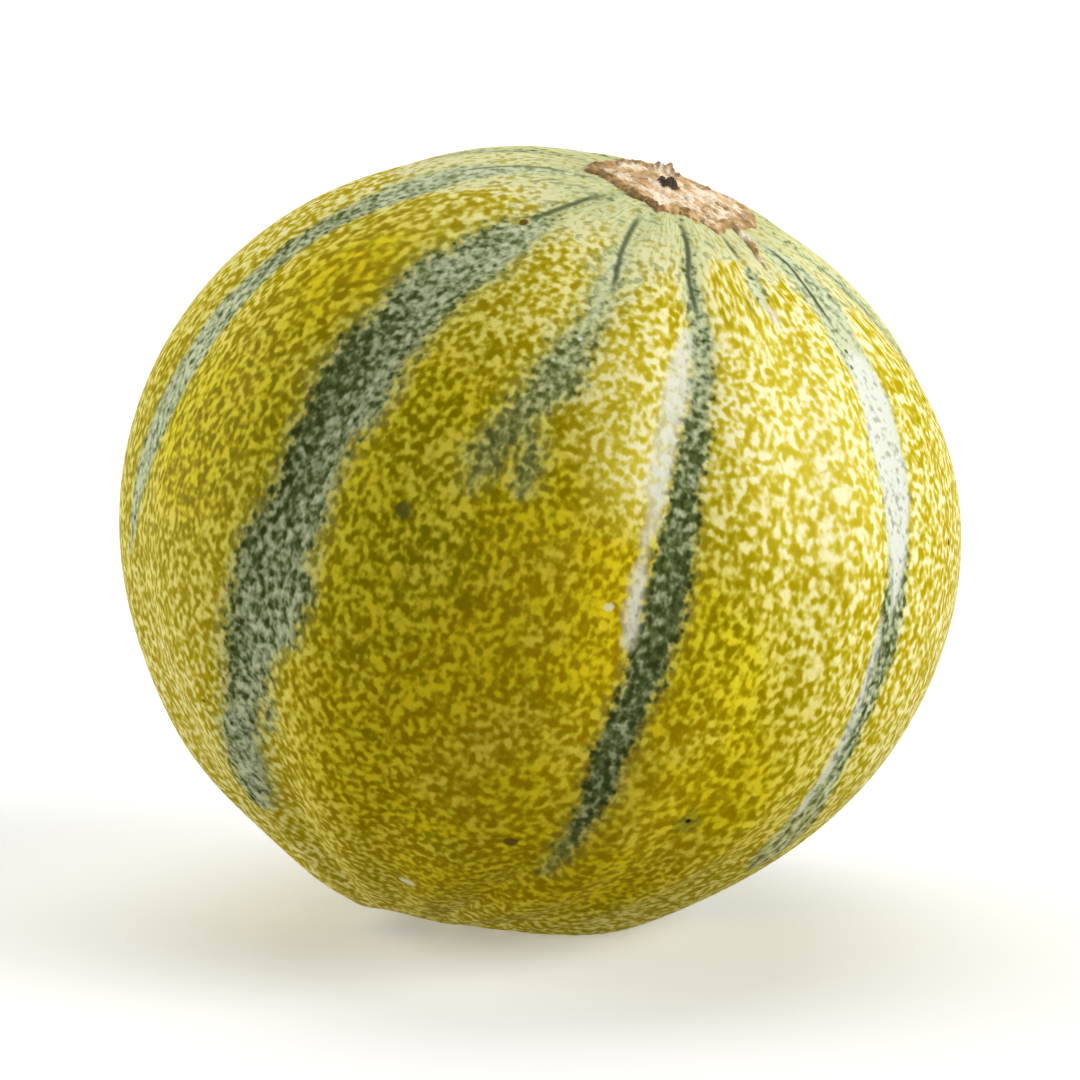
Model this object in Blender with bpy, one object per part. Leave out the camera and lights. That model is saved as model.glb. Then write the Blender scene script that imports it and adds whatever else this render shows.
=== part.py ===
"""One whole ripe ananas melon as grown: a softly ribbed, slightly flattened ball with a corky stem scar.

Metres, +Z up. The fruit stands on a small flat spot at its foot, with the origin on that spot under the
middle of the fruit. Its stem end tips towards +X, and its best side faces -Y.
"""
import math
from collections import namedtuple

import bmesh
import bpy
import numpy as np
from mathutils import Matrix

# The whole fruit
GIRTH_RADIUS = 0.0756        # middle to the rind, round the widest part
HALF_HEIGHT = 0.0696         # middle to either end, along the fruit's own axis
LEAN = math.radians(19.6)    # tip of the stem end towards +X
CORE_FORWARD = 0.016         # the seams run round a core line this far in front of the middle
FOOT_CUT = 0.0029            # height of the plain ball's foot that the flat spot takes off

# Furrows along the seams between the ribs. Each pair of angles is where a change begins and ends,
# counted from the stem end (0) to the blossom end (180 degrees)
FURROW_WIDTH = 0.0085        # from a seam's line to where its furrow has mostly levelled out
FURROW_SHARE = 0.30          # the same as a share of the rib, where the ribs are narrow
FURROW_STEEPEST = 0.11       # greatest depth of a furrow as a share of the rib
FURROW_STARTS = (12, 48)
FURROW_DEEPENS = (95, 145)
BLOSSOM_DEEPENING = 0.45     # furrows get this much deeper towards the blossom end
FURROW_STOPS = (156, 174)
CREASE_WIDTH = 0.0012        # sharp crease along each seam near the stem
CREASE_DEPTH = 0.0006
CREASE_STARTS = (9, 14)
CREASE_STOPS = (20, 34)

# Stem scar, a ragged corky plate round the hole that the stalk left
SCAR_RADIUS = 0.0136
SCAR_LONGER_RIGHT = 0.0015   # how far its outline departs from a round one
SCAR_SHORTER_FRONT = 0.0022
SCAR_OVAL = 0.0019
SCAR_STEP = 0.0008           # its edge stands this far off the rind
SCAR_BEVEL = 0.0016          # width of that edge
SCAR_LIP = 0.0004            # extra height of its outer ring
SCAR_LIP_PLACE = 0.82        # middle of that ring as a share of the way out
SCAR_LIP_WIDTH = 0.0018
LUMP_HEIGHT = 0.0002
LUMPS_ROUND = 6
LUMP_TWIST = 900.0           # turns the lumps into slanting ones, in radians per metre outwards
HOLE_RADIUS = 0.0024
HOLE_DEPTH = 0.0022

# Waves of the scar's ragged outline: number round it, height and starting angle
Wave = namedtuple("Wave", "count height start")
SCAR_WAVES = (
    Wave(3, 0.0007, 0.6),
    Wave(5, 0.0008, 1.9),
    Wave(8, 0.0006, 0.4),
    Wave(13, 0.0005, 2.5),
)

# Blossom scar, a small sunken button with a low rim at the other end
BUTTON_RADIUS = 0.0055
BUTTON_DEPTH = 0.0012
BUTTON_RIM = 0.0004
BUTTON_RIM_RADIUS = 0.0082
BUTTON_RIM_WIDTH = 0.0020

# Mesh density
SEGMENTS_PER_RIB = 7
SCAR_RINGS = 15
SCAR_RINGS_END = math.radians(18)
BODY_RINGS = 35
RING_GROWTH = 1.15           # above 1, the body's rings lie wider apart away from the stem
TINY = 1e-6                  # keeps a furrow's width above zero at the two ends

# A seam's angle round the core line at the stem, at the widest part and at the blossom end, in
# degrees from the -Y side and positive towards +X, and the depth of its furrow
Seam = namedtuple("Seam", "stem middle blossom depth")
SEAMS = (
    Seam(-172, -171, -171, 0.0012),
    Seam(-145, -145, -146, 0.0014),
    Seam(-117, -117, -118, 0.0011),
    Seam(-89, -81, -81, 0.0014),
    Seam(-45, -45, -50, 0.0016),
    Seam(-12, -13, -14, 0.0007),
    Seam(14, 17, 24, 0.0014),
    Seam(45, 42, 45, 0.0009),
    Seam(75, 63, 66, 0.0015),
    Seam(103, 109, 108, 0.0012),
    Seam(130, 136, 135, 0.0014),
    Seam(158, 163, 162, 0.0010),
)

# Broad swellings and flats that keep the fruit from being a perfect ball: longitude and latitude of
# their middle in degrees, height over the plain shape, and spread in degrees
Swell = namedtuple("Swell", "longitude latitude height spread")
SWELLS = (
    Swell(84, -34, -0.0032, 28),
    Swell(86, -2, -0.0011, 22),
    Swell(96, 38, 0.0016, 26),
    Swell(69, -62, 0.0018, 13),
    Swell(-81, -53, 0.0014, 13),
    Swell(-48, -77, 0.0028, 13),
    Swell(55, -76, -0.0018, 9),
)


def ease(value, low, high):
    """0 below low, 1 above high, and an even ease between."""
    x = np.clip((value - low) / (high - low), 0.0, 1.0)
    return x * x * (3.0 - 2.0 * x)


def bump(away, width):
    """Bell curve: 1 at no distance, nearly 0 two widths away."""
    return np.exp(-((away / width) ** 2))


def seam_angle(index, down):
    """Angle of a seam round the core line, where down runs from 0 at the stem to 1 at the blossom."""
    turns, place = divmod(index, len(SEAMS))
    seam = SEAMS[place]
    angle = (
        seam.stem * (1.0 - down) * (1.0 - 2.0 * down)
        + seam.middle * 4.0 * down * (1.0 - down)
        + seam.blossom * down * (2.0 * down - 1.0)
    )
    return np.radians(angle + 360.0 * turns)


def plain_reach(direction):
    """Distance from the middle of the core line to the plain flattened ball, along a direction."""
    x, y, z = direction
    across = 1.0 / GIRTH_RADIUS**2
    along = 1.0 / HALF_HEIGHT**2
    a = (x * x + y * y) * across + z * z * along
    b = x * CORE_FORWARD * across
    c = CORE_FORWARD**2 * across - 1.0
    return (np.sqrt(b * b - a * c) - b) / a


def swell_height(point):
    """Broad departures from the plain ball."""
    unit = point / np.linalg.norm(point, axis=0)
    total = 0.0
    for swell in SWELLS:
        lon, lat = math.radians(swell.longitude), math.radians(swell.latitude)
        middle = (math.cos(lat) * math.cos(lon), math.cos(lat) * math.sin(lon), math.sin(lat))
        near = np.clip(sum(m * u for m, u in zip(middle, unit)), -1.0, 1.0)
        away = np.degrees(np.arccos(near))
        total = total + swell.height * bump(away, swell.spread)
    return total


def furrow_height(rib, share, colatitude, axis_distance):
    """Furrows of the two seams beside a point that lies the given share of the way across a rib."""
    down = colatitude / math.pi
    degrees = math.degrees(colatitude)
    rib_width = (seam_angle(rib + 1, down) - seam_angle(rib, down)) * axis_distance
    width = np.minimum(FURROW_WIDTH, FURROW_SHARE * rib_width) + TINY
    deepened = 1.0 + BLOSSOM_DEEPENING * ease(degrees, *FURROW_DEEPENS)
    furrow_fade = ease(degrees, *FURROW_STARTS) * deepened * (1.0 - ease(degrees, *FURROW_STOPS))
    crease_fade = ease(degrees, *CREASE_STARTS) * (1.0 - ease(degrees, *CREASE_STOPS))
    total = 0.0
    for seam, gap in ((rib, share * rib_width), (rib + 1, (1.0 - share) * rib_width)):
        depth = np.minimum(SEAMS[seam % len(SEAMS)].depth * furrow_fade, FURROW_STEEPEST * rib_width)
        total = total - depth * bump(gap, width)
        total = total - CREASE_DEPTH * crease_fade * bump(gap, CREASE_WIDTH)
    return total


def scar_edge(angle):
    """Distance from the core line to the ragged edge of the stem scar."""
    edge = SCAR_RADIUS + SCAR_LONGER_RIGHT * np.sin(angle)
    edge = edge - SCAR_SHORTER_FRONT * np.cos(angle) - SCAR_OVAL * np.cos(2.0 * angle)
    for wave in SCAR_WAVES:
        edge = edge + wave.height * np.cos(wave.count * angle + wave.start)
    return edge


def scar_height(axis_distance, angle):
    """Corky plate with a thicker outer ring, an uneven top and the hole of the stalk."""
    edge = scar_edge(angle)
    plate = 1.0 - ease(axis_distance, edge - 0.75 * SCAR_BEVEL, edge + 0.25 * SCAR_BEVEL)
    ring = SCAR_LIP * bump(axis_distance - SCAR_LIP_PLACE * edge, SCAR_LIP_WIDTH)
    lumps = LUMP_HEIGHT * np.sin(LUMPS_ROUND * angle + LUMP_TWIST * axis_distance)
    lumps = lumps * ease(axis_distance, HOLE_RADIUS, 2.0 * HOLE_RADIUS)
    hole = HOLE_DEPTH * (1.0 - ease(axis_distance, 0.4 * HOLE_RADIUS, HOLE_RADIUS))
    return plate * (SCAR_STEP + lumps) + ring - hole


def button_height(axis_distance):
    """Sunken blossom scar with a faint raised edge."""
    dish = BUTTON_DEPTH * bump(axis_distance, BUTTON_RADIUS)
    rim = BUTTON_RIM * bump(axis_distance - BUTTON_RIM_RADIUS, BUTTON_RIM_WIDTH)
    return rim - dish


def rind_point(rib, share, colatitude):
    """Point of the rind in the fruit's own frame: x to the front, y to the right, z to the stem."""
    down = colatitude / math.pi
    angle = (1.0 - share) * seam_angle(rib, down) + share * seam_angle(rib + 1, down)
    direction = np.array(
        (
            np.sin(colatitude) * np.cos(angle),
            np.sin(colatitude) * np.sin(angle),
            np.cos(colatitude) * np.ones_like(angle),
        )
    )
    core = np.array(((CORE_FORWARD,), (0.0,), (0.0,)))
    reach = plain_reach(direction)
    plain = core + direction * reach
    axis_distance = reach * np.sin(colatitude)
    relief = swell_height(plain) + furrow_height(rib, share, colatitude, axis_distance)
    if colatitude < math.pi / 2:
        relief = relief + scar_height(axis_distance, angle)
    else:
        relief = relief + button_height(axis_distance)
    return plain + direction * relief


def ring_colatitudes():
    """Colatitude of each ring: close together on the scar, then wider over the body."""
    scar = [SCAR_RINGS_END * i / SCAR_RINGS for i in range(1, SCAR_RINGS + 1)]
    shares = [i / (BODY_RINGS + 1) for i in range(1, BODY_RINGS + 1)]
    body = [SCAR_RINGS_END + (math.pi - SCAR_RINGS_END) * share**RING_GROWTH for share in shares]
    return scar + body


def build_rind():
    """Closed grid of rings round the core line, with a fan at either end."""
    bm = bmesh.new()
    tip = bm.verts.new(rind_point(0, np.zeros(1), 0.0)[:, 0])
    rings = []
    shares = np.arange(SEGMENTS_PER_RIB) / SEGMENTS_PER_RIB
    for colatitude in ring_colatitudes():
        ring = []
        for rib in range(len(SEAMS)):
            points = rind_point(rib, shares, colatitude)
            ring.extend(bm.verts.new(points[:, i]) for i in range(SEGMENTS_PER_RIB))
        rings.append(ring)
    foot = bm.verts.new(rind_point(0, np.zeros(1), math.pi)[:, 0])
    count = len(rings[0])
    for i in range(count):
        j = (i + 1) % count
        bm.faces.new((tip, rings[0][i], rings[0][j]))
        bm.faces.new((foot, rings[-1][j], rings[-1][i]))
        for upper, lower in zip(rings, rings[1:]):
            bm.faces.new((upper[i], lower[i], lower[j], upper[j]))
    bmesh.ops.recalc_face_normals(bm, faces=bm.faces)
    mesh = bpy.data.meshes.new("melon")
    bm.to_mesh(mesh)
    bm.free()
    mesh.shade_smooth()
    return mesh


def fruit_frame():
    """Turns the fruit's own frame to lean, and lifts its middle to the right height over the foot."""
    lowest = math.hypot(GIRTH_RADIUS * math.sin(LEAN), HALF_HEIGHT * math.cos(LEAN))
    front = (0.0, -1.0, 0.0)
    right = (math.cos(LEAN), 0.0, -math.sin(LEAN))
    stem = (math.sin(LEAN), 0.0, math.cos(LEAN))
    turn = Matrix((front, right, stem)).transposed().to_4x4()
    return Matrix.Translation((0.0, 0.0, lowest - FOOT_CUT)) @ turn


def rind_material():
    material = bpy.data.materials.new("rind")
    material.use_nodes = True
    shader = material.node_tree.nodes["Principled BSDF"]
    shader.inputs["Base Color"].default_value = (0.56, 0.46, 0.07, 1.0)
    shader.inputs["Roughness"].default_value = 0.42
    shader.inputs["Metallic"].default_value = 0.0
    material.diffuse_color = (0.56, 0.46, 0.07, 1.0)
    return material


def ground_block():
    """Hidden block under z = 0 that cuts the flat spot."""
    size = 1.2 * GIRTH_RADIUS
    bm = bmesh.new()
    bmesh.ops.create_cube(bm, size=size)
    mesh = bpy.data.meshes.new("ground_cut")
    bm.to_mesh(mesh)
    bm.free()
    block = bpy.data.objects.new("ground_cut", mesh)
    block.location = (0.0, 0.0, -size / 2.0)
    block.hide_render = True
    block.display_type = "WIRE"
    bpy.context.scene.collection.objects.link(block)
    return block


def main():
    for old in list(bpy.data.objects):
        bpy.data.objects.remove(old, do_unlink=True)
    mesh = build_rind()
    mesh.transform(fruit_frame())
    melon = bpy.data.objects.new("melon", mesh)
    melon.data.materials.append(rind_material())
    bpy.context.scene.collection.objects.link(melon)
    cut = melon.modifiers.new("flat_spot", "BOOLEAN")
    cut.operation = "DIFFERENCE"
    cut.object = ground_block()


main()
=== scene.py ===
"""Looks of the ananas melon: a mottled gold and cream rind, grey-green stripes and a corky stem scar.

Metres, +Z up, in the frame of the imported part. The fruit has a frame of its own: x to the front (world -Y),
y to the right and z to the stem. Angles run round the core line, which is parallel to that z, from 0 at the
front and positive towards +X. Colatitudes run in degrees from the stem (0) to the blossom end (180).
"""
import math
from collections import namedtuple

import bpy
import numpy as np
from mathutils import Matrix, Vector, noise

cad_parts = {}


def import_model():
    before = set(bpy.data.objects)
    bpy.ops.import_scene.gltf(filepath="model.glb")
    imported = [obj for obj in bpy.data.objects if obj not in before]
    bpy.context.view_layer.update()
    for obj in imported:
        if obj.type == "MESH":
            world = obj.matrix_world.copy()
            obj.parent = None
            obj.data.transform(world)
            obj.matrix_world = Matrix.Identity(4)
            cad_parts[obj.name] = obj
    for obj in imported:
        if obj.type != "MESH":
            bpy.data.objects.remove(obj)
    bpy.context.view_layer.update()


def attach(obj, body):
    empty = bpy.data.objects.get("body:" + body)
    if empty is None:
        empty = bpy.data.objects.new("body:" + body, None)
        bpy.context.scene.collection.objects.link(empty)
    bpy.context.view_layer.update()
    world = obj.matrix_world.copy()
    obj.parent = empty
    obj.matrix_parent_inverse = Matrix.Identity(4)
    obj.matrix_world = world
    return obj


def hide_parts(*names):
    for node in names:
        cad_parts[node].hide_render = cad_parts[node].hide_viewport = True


MM = 0.001

# The solid's own form, as in the part's source. Starts, stops and the like are degrees of colatitude over
# which something sets in or fades
GIRTH_RADIUS = 0.0756
HALF_HEIGHT = 0.0696
LEAN = math.radians(19.6)
CORE_FORWARD = 0.016
FOOT_CUT = 0.0029
FURROW_WIDTH = 0.0085
FURROW_SHARE = 0.30
FURROW_STEEPEST = 0.11
FURROW_STARTS = (12, 48)
FURROW_DEEPENS = (95, 145)
BLOSSOM_DEEPENING = 0.45
FURROW_STOPS = (156, 174)
CREASE_WIDTH = 0.0012
CREASE_DEPTH = 0.0003
CREASE_STARTS = (9, 14)
CREASE_STOPS = (20, 34)
SCAR_RADIUS = 0.0136
SCAR_LONGER_RIGHT = 0.0015
SCAR_SHORTER_FRONT = 0.0022
SCAR_OVAL = 0.0019
BUTTON_RADIUS = 0.0055
BUTTON_DEPTH = 0.0012
BUTTON_RIM = 0.0004
BUTTON_RIM_RADIUS = 0.0082
BUTTON_RIM_WIDTH = 0.0020
UNDER_SCAR = (0.55, 0.85)    # the rind drops away under the inner part of the scar's plate
UNDER_SCAR_DEPTH = 0.0035
TINY = 1e-6
POLE_HEIGHT = 0.977 * HALF_HEIGHT    # on the core line, where the fans that close the mesh meet

# Seams between the ribs: angle at the stem, half way and at the blossom end, and depth of the furrow
Seam = namedtuple("Seam", "stem middle blossom depth")
SEAMS = (
    Seam(-172, -171, -171, 0.0012),
    Seam(-145, -145, -146, 0.0014),
    Seam(-117, -117, -118, 0.0011),
    Seam(-89, -81, -81, 0.0014),
    Seam(-45, -45, -50, 0.0016),
    Seam(-12, -13, -14, 0.0007),
    Seam(14, 17, 24, 0.0014),
    Seam(45, 42, 45, 0.0009),
    Seam(75, 63, 66, 0.0015),
    Seam(103, 109, 108, 0.0012),
    Seam(130, 136, 135, 0.0014),
    Seam(158, 163, 162, 0.0010),
)
SEAM_TABLE = np.array(SEAMS)

# Broad swells and hollows: place and spread in degrees
Swell = namedtuple("Swell", "longitude latitude height spread")
SWELLS = (
    Swell(84, -34, -0.0032, 28),
    Swell(86, -2, -0.0011, 22),
    Swell(96, 38, 0.0016, 26),
    Swell(69, -62, 0.0018, 13),
    Swell(-81, -53, 0.0014, 13),
    Swell(-48, -77, 0.0028, 13),
    Swell(55, -76, -0.0018, 9),
)

# Waves of the stem scar's edge, with so many crests in a full turn
Wave = namedtuple("Wave", "count height start")
SCAR_WAVES = (
    Wave(3, 0.0007, 0.6),
    Wave(5, 0.0008, 1.9),
    Wave(8, 0.0006, 0.4),
    Wave(13, 0.0005, 2.5),
)

# Density of the rind's mesh
SEGMENTS_PER_RIB = 30
RINGS = 256
RING_GROWTH = 1.12
FIRST_RING = 0.004           # of the way from the stem to the blossom end

# A stripe runs along a path of (colatitude, angle) stops. These change along it, as (colatitude, value)
# stops: its width in millimetres, its share of dark specks, the depth of its green, how much darker its
# left side is than its right side, and how far it covers the rib's own colours. Ragged is the unevenness
# of its borders
EVEN = ((0, 0.0),)
FULL = ((0, 1.0),)
Stripe = namedtuple("Stripe", "path width specks green ragged lean cover", defaults=(EVEN, FULL))
STRIPES = (
    # Far left
    Stripe(
        path=((12, -78), (17, -83), (24, -87), (31, -89), (37, -86.5), (48, -86), (60, -84.7),
              (78, -82.6), (90, -83.3), (104, -85.3), (116, -88)),
        width=((12, 1), (20, 4), (30, 7), (37, 8.5), (44, 7.2), (50, 6), (56, 5.6), (64, 6.2), (72, 8),
               (84, 7.6), (92, 6.4), (100, 4), (108, 1), (116, -8)),
        specks=((34, 0.0), (44, 0.1), (52, 0.25), (64, 0.25), (80, 0.12), (108, 0.1)),
        green=((12, 0.1), (30, 0.2), (40, 0.4), (50, 0.6), (64, 0.6), (76, 0.35), (110, 0.35)),
        ragged=0.5,
    ),
    # Broad one left of the middle
    Stripe(
        path=((22, -45.5), (28, -43.8), (32, -45.4), (40, -45.2), (44, -47.5), (52, -46.6),
              (56, -45.7), (60, -46.3), (68, -45.2), (80, -45.4), (88, -44.3), (96, -45.6),
              (100, -44.6), (108, -45.7), (114, -48.4), (120, -49.7), (124, -51.3), (128, -54),
              (136, -56.6), (146, -60)),
        width=((23, 0), (27, 5.4), (32, 8.7), (40, 10.6), (52, 11.6), (56, 10.9), (64, 13), (70, 13.8),
               (75, 10), (84, 10.8), (96, 13.4), (100, 17), (104, 14.8), (109, 14.2), (114, 9.6),
               (120, 7.8), (124, 6.2), (128, 8.2), (140, 7.2), (146, 4), (150, -8)),
        specks=((22, 0.03), (34, 0.08), (42, 0.25), (50, 0.38), (60, 0.5), (90, 0.58), (100, 0.5),
                (112, 0.5), (122, 0.38), (148, 0.3)),
        green=((22, 0.45), (38, 0.55), (50, 0.65), (60, 0.8), (92, 0.78), (104, 0.68), (118, 0.68),
               (126, 0.55), (148, 0.4)),
        ragged=1.2,
        lean=((50, 0.0), (60, 0.3), (70, 0.6), (86, 0.6), (94, 0.1), (102, 0.1), (112, 0.35),
              (130, 0.1), (146, 0.6)),
    ),
    # Stray lump right of its end
    Stripe(
        path=((118, -45.5), (124, -45), (129, -46.5)),
        width=((116, -6), (121, 1), (124, 2.2), (128, 1.5), (132, -6)),
        specks=((118, 0.4),),
        green=((118, 0.5),),
        ragged=1.0,
        cover=((118, 0.8),),
    ),
    # Short one in front
    Stripe(
        path=((24, -13), (30, -12.2), (38, -10.8), (42, -11.5), (50, -12.4), (54, -12.2), (58, -14.4),
              (62, -15.8), (66, -17.3), (76, -18)),
        width=((22, 0), (26, 4.6), (34, 4.2), (39, 3.6), (42, 4.4), (46, 5.4), (50, 6.4), (54, 6.8),
               (57, 5.6), (64, 4.8), (70, 4.4), (74, 2), (79, -5)),
        specks=((26, 0.02), (38, 0.06), (44, 0.25), (52, 0.45), (60, 0.55), (66, 0.6), (76, 0.3)),
        green=((26, 0.1), (36, 0.15), (42, 0.6), (56, 0.85), (70, 1.05)),
        ragged=1.2,
        cover=((26, 0.8), (50, 0.85), (58, 0.72), (70, 0.62), (76, 0.4)),
    ),
    # Second tip of the short one
    Stripe(
        path=((63, -12.2), (66, -10.6), (71, -10)),
        width=((59, -4), (63, 2.2), (68, 2.8), (72, 1.4), (76, -4)),
        specks=((60, 0.5),),
        green=((60, 0.95),),
        ragged=1.2,
        cover=((60, 0.68),),
    ),
    # Dark one right of the middle
    Stripe(
        path=((10, 12.3), (18, 14), (24, 13.8), (29, 15.4), (33, 16.6), (37, 17.6), (44, 18), (48, 18),
              (52, 17.5), (60, 17.3), (64, 17.4), (68, 17.9), (78, 18.4), (88, 19), (98, 19.2),
              (108, 19.5), (114, 21.2), (120, 21.9), (128, 23), (138, 24)),
        width=((12, 0), (20, 2.4), (30, 3.4), (36, 4.2), (41, 3.8), (48, 3.8), (52, 4.6), (56, 5.0),
               (64, 4.9), (68, 5.8), (74, 6.4), (83, 7.2), (90, 6.8), (98, 5.8), (108, 5.8),
               (114, 5.4), (118, 3.8), (124, 3.8), (130, 2.6), (138, 1), (144, -5)),
        specks=((12, 0.03), (36, 0.05), (44, 0.15), (50, 0.38), (56, 0.55), (66, 0.62), (80, 0.76),
                (112, 0.78), (120, 0.65), (138, 0.4)),
        green=((12, 0.3), (36, 0.4), (46, 0.5), (52, 0.8), (66, 0.9), (80, 1.0)),
        ragged=0.6,
        cover=((116, 1.0), (126, 0.8), (138, 0.5)),
    ),
    # Tick near the stem on the right
    Stripe(
        path=((19, 45), (22, 44.1), (26, 41.8), (30, 42)),
        width=((18, -1), (20.5, 2.2), (23, 3.2), (26, 3), (31, -3)),
        specks=((18, 0.08), (28, 0.2)),
        green=((18, 0.15),),
        ragged=0.4,
    ),
    # Pale one on the right
    Stripe(
        path=((13, 75.5), (16, 76.3), (20, 77.5), (25, 76), (30, 74.6), (35, 71), (41, 71), (46, 69.6),
              (50, 67.8), (60, 67), (65, 66), (78, 65.2), (86, 64.6), (95, 64.6), (100, 65.6),
              (106, 66.8), (113, 69.5), (120, 71.5), (128, 73)),
        width=((13, 0), (18, 5), (24, 9), (30, 10), (35, 9), (41, 7.6), (46, 9), (50, 10), (55, 9),
               (60, 7.8), (65, 6.8), (70, 5.8), (76, 6.6), (82, 6.6), (88, 5.8), (95, 4.8), (102, 4.8),
               (108, 7), (116, 9), (122, 7), (128, -6)),
        specks=((14, 0.01), (56, 0.04), (62, 0.14), (68, 0.32), (75, 0.62), (84, 0.66), (96, 0.64),
                (112, 0.42), (124, 0.35)),
        green=((14, 0.12), (30, 0.15), (40, 0.0), (62, 0.1), (70, 0.45), (76, 0.75), (84, 0.7),
               (92, 0.65), (112, 0.45), (126, 0.45)),
        ragged=0.4,
        cover=((100, 1.0), (108, 0.75), (124, 0.6)),
    ),
    # Right side
    Stripe(
        path=((13, 103), (60, 107), (150, 108)),
        width=((14, 0), (30, 7), (60, 8), (100, 8), (140, 6), (150, -5)),
        specks=((14, 0.05), (50, 0.3), (140, 0.4)),
        green=((14, 0.2), (60, 0.5), (140, 0.5)),
        ragged=0.9,
        lean=((0, 0.3),),
    ),
    # Back, from the right round to the left
    Stripe(
        path=((13, 130), (60, 134), (90, 136), (150, 135)),
        width=((13, 0), (30, 8), (50, 12), (90, 13), (130, 11), (150, -6)),
        specks=((13, 0.05), (45, 0.5), (140, 0.5)),
        green=((13, 0.2), (45, 0.75), (140, 0.7)),
        ragged=1.3,
        lean=((0, 0.4),),
    ),
    Stripe(
        path=((15, 158), (60, 162), (100, 164)),
        width=((15, 0), (30, 4), (60, 7), (84, 5), (94, -4)),
        specks=((15, 0.1), (60, 0.4)),
        green=((15, 0.2), (60, 0.7)),
        ragged=1.5,
        cover=((30, 1.0), (60, 0.75), (90, 0.6)),
    ),
    Stripe(
        path=((13, -172), (90, -171), (150, -170)),
        width=((13, 0), (30, 8), (50, 11), (100, 13), (140, 10), (154, -6)),
        specks=((13, 0.05), (45, 0.4), (140, 0.5)),
        green=((13, 0.2), (45, 0.6), (140, 0.7)),
        ragged=1.2,
        lean=((0, -0.3),),
    ),
    Stripe(
        path=((13, -145), (90, -144), (145, -146)),
        width=((13, 0), (30, 7), (60, 9), (110, 8), (145, -5)),
        specks=((13, 0.05), (45, 0.5), (140, 0.6)),
        green=((13, 0.2), (45, 0.8), (140, 0.8)),
        ragged=0.8,
        lean=((0, 0.3),),
    ),
    Stripe(
        path=((14, -117), (60, -115), (150, -118)),
        width=((14, 0), (30, 6), (60, 9), (100, 8), (135, 7), (150, -5)),
        specks=((14, 0.02), (50, 0.15), (140, 0.35)),
        green=((14, 0.2), (50, 0.3), (140, 0.5)),
        ragged=0.9,
    ),
)

# A band of pale wax bloom in or beside a stripe, laid out like a stripe. The band left of the dark stripe and
# the one in the pale stripe are partly painted sheen
Band = namedtuple("Band", "path width strength")
WAX_AND_SHEEN_BANDS = (
    # Left of the dark stripe: pale wax, partly painted sheen
    Band(
        path=((37, 13.4), (40, 12.8), (44, 12.3), (48, 12.1), (52, 12), (56, 11.7), (60, 11.8),
              (64, 12), (68, 12.7), (72, 12.5), (80, 13.3), (88, 14.6), (92, 15.6)),
        width=((33, -2), (36, 1.2), (40, 3.4), (44, 4.1), (48, 4.4), (52, 4.2), (56, 4.3), (60, 3.9),
               (64, 3.9), (67, 3.2), (71, 1.6), (75, 1.2), (79, 2.6), (84, 3), (90, 1.4), (94, -4)),
        strength=0.85,
    ),
    # In the pale stripe: pale wax, partly painted sheen
    Band(
        path=((34, 71.5), (41, 71), (46, 69.6), (50, 67.8), (60, 67), (65, 66), (76, 65.4)),
        width=((33, -5), (38, 5), (42, 8), (50, 9.4), (60, 7.6), (66, 5.6), (70, 3.4), (74, 1.4),
               (79, -0.6), (84, -4)),
        strength=0.95,
    ),
    # Left of the pale stripe's lower half
    Band(
        path=((80, 62.4), (90, 62.6), (100, 63.6), (110, 65.4)),
        width=((74, -3), (80, 2), (90, 2.4), (102, 2.2), (110, 2), (118, -4)),
        strength=0.7,
    ),
    # Back
    Band(
        path=((30, 127), (84, 129)),
        width=((36, -4), (44, 2), (62, 4), (76, 1), (86, -4)),
        strength=0.7,
    ),
    # Tick near the stem
    Band(
        path=((26, 42.5), (31, 44.3)),
        width=((25, -2), (28, 2.2), (31, 1), (33, -3)),
        strength=0.8,
    ),
)

# Broad regions of the rind: angle, colatitude, spread in degrees and strength
Patch = namedtuple("Patch", "angle colatitude spread strength")
# Where the ground is yellow and the marks are a deeper, darker gold: partly the rind's own tone, partly
# painted shade where the lights leave the rind dim, as over the front
DEEP_AND_SHADED_PATCHES = (
    Patch(2, 84, 16, 0.5),
    Patch(-25, 78, 44, 1.0),
    Patch(-66, 50, 16, 0.6),
    Patch(-76, 88, 26, 0.65),
    Patch(5, 118, 36, 0.8),
    Patch(25, 86, 14, 0.55),
    Patch(44, 112, 26, 0.75),
    Patch(0, 158, 36, 0.6),
    Patch(150, 90, 40, 0.8),
    Patch(-130, 110, 34, 0.6),
    Patch(100, 125, 26, 0.5),
)
# Where they lean towards orange
WARM_PATCHES = (
    Patch(3, 84, 17, 0.9),
    Patch(10, 116, 28, 0.9),
    Patch(38, 120, 24, 0.6),
    Patch(0, 150, 30, 0.7),
    Patch(-64, 53, 9, 0.8),
    Patch(150, 80, 20, 0.7),
    Patch(-130, 70, 16, 0.6),
    Patch(85, 52, 9, 0.5),
)
# Where the marks are olive
OLIVE_PATCHES = (
    Patch(-20, 84, 11, 1.0),
    Patch(-4, 138, 12, 0.6),
    Patch(-24, 122, 12, 0.35),
    Patch(-100, 100, 14, 0.6),
    Patch(120, 110, 14, 0.6),
)
# Where the marks are a bright gold
BRIGHT_PATCHES = (
    Patch(9, 63, 8, 1.0),
    Patch(46, 48, 17, 1.0),
    Patch(60, 62, 8, 0.5),
    Patch(-2, 46, 10, 0.5),
    Patch(-160, 60, 16, 0.6),
)
# Where the marks are coarser
COARSE_PATCHES = (
    Patch(-66, 46, 20, 1.0),
    Patch(46, 64, 24, 0.7),
    Patch(44, 112, 20, 0.6),
    Patch(8, 122, 22, 0.6),
    Patch(150, 70, 30, 0.6),
)
# Where the marks are drawn out into streaks along the ribs
STREAKY_PATCHES = (
    Patch(28, 26, 13, 1.0),
    Patch(85, 34, 12, 0.9),
    Patch(150, 26, 14, 1.0),
    Patch(-140, 26, 14, 1.0),
)


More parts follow.
